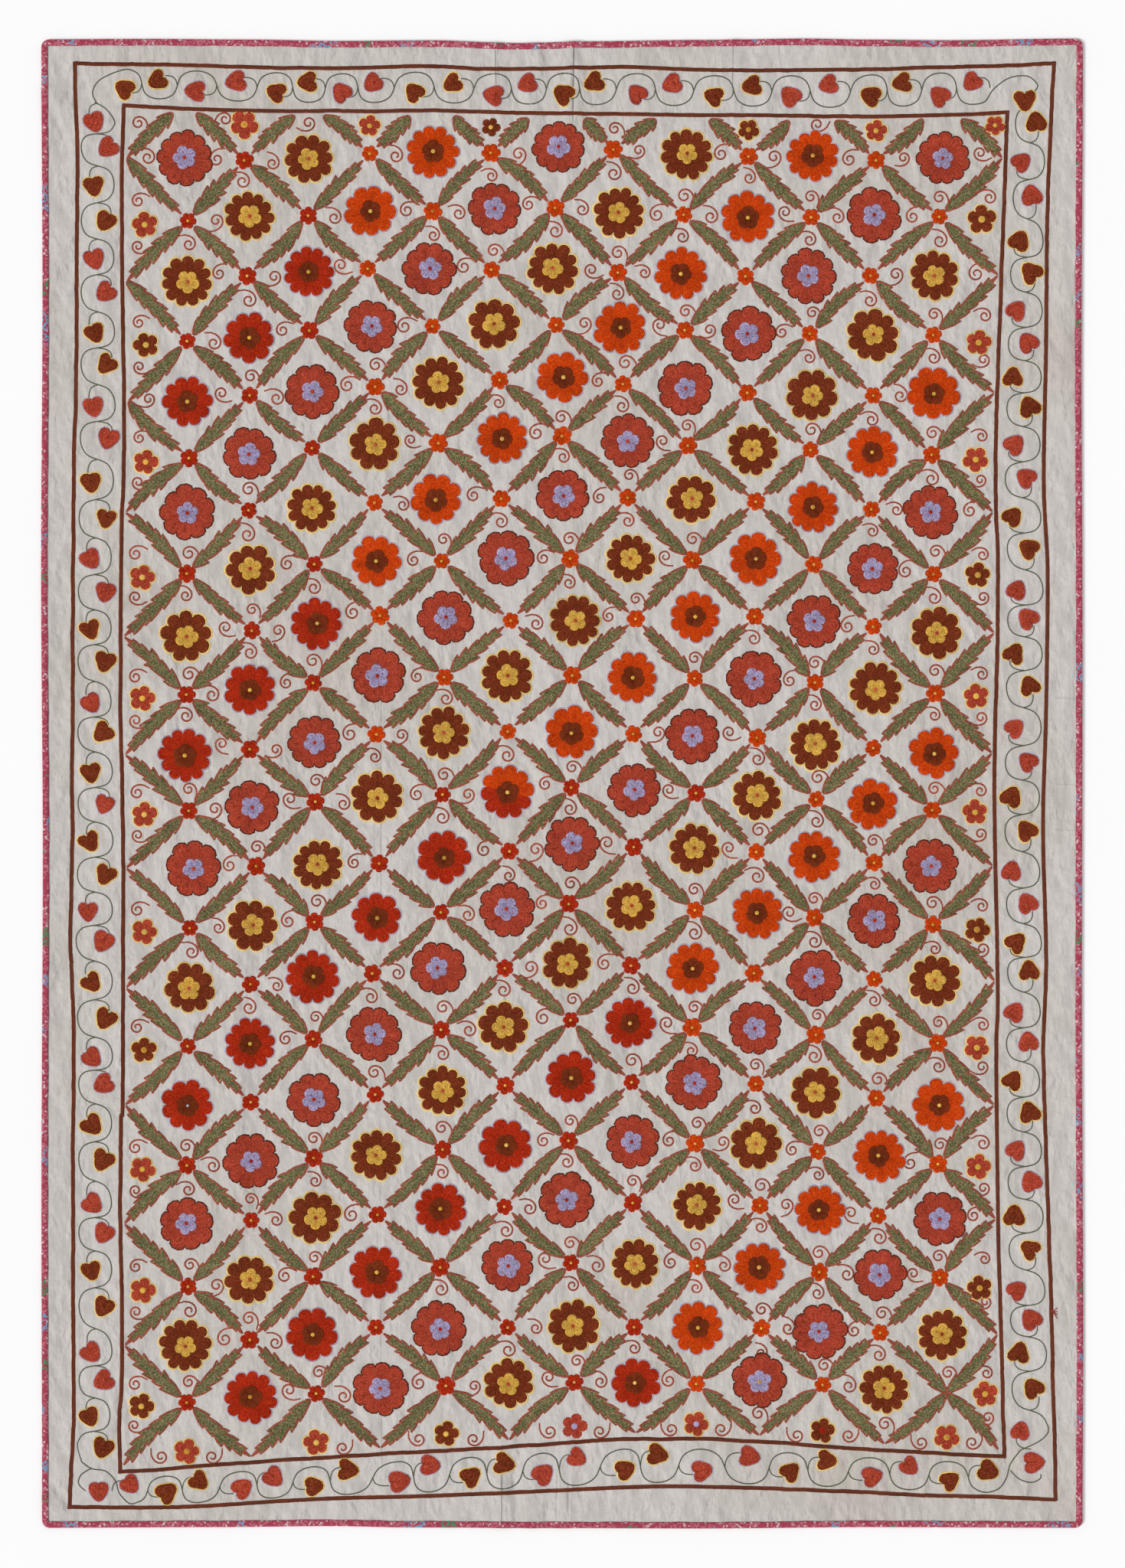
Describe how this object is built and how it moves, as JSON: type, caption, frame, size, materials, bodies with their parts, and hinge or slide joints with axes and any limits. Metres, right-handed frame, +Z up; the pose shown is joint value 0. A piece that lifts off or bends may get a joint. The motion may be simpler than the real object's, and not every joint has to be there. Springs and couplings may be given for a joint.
{
  "type": "embroidered suzani",
  "caption": "Flat white cotton suzani with an embroidered lattice of rosettes and leaves, a vine border and a narrow printed binding, laid face up.",
  "frame": {"origin": "middle of the cloth, on the surface it lies on", "axes": "+X to the cloth's right side, +Y to its top edge, +Z up out of its face"},
  "size_m": [1.5, 2.145, 0.0062],
  "materials": {
    "ground_cotton": "plain-woven cotton, worked in chain stitch",
    "printed_binding": "fine printed cotton, folded and stitched"
  },
  "bodies": {
    "root": {"ground_cloth": "ground_cotton", "binding_top": "printed_binding", "binding_bottom": "printed_binding", "binding_left": "printed_binding", "binding_right": "printed_binding"}
  },
  "joints": []
}
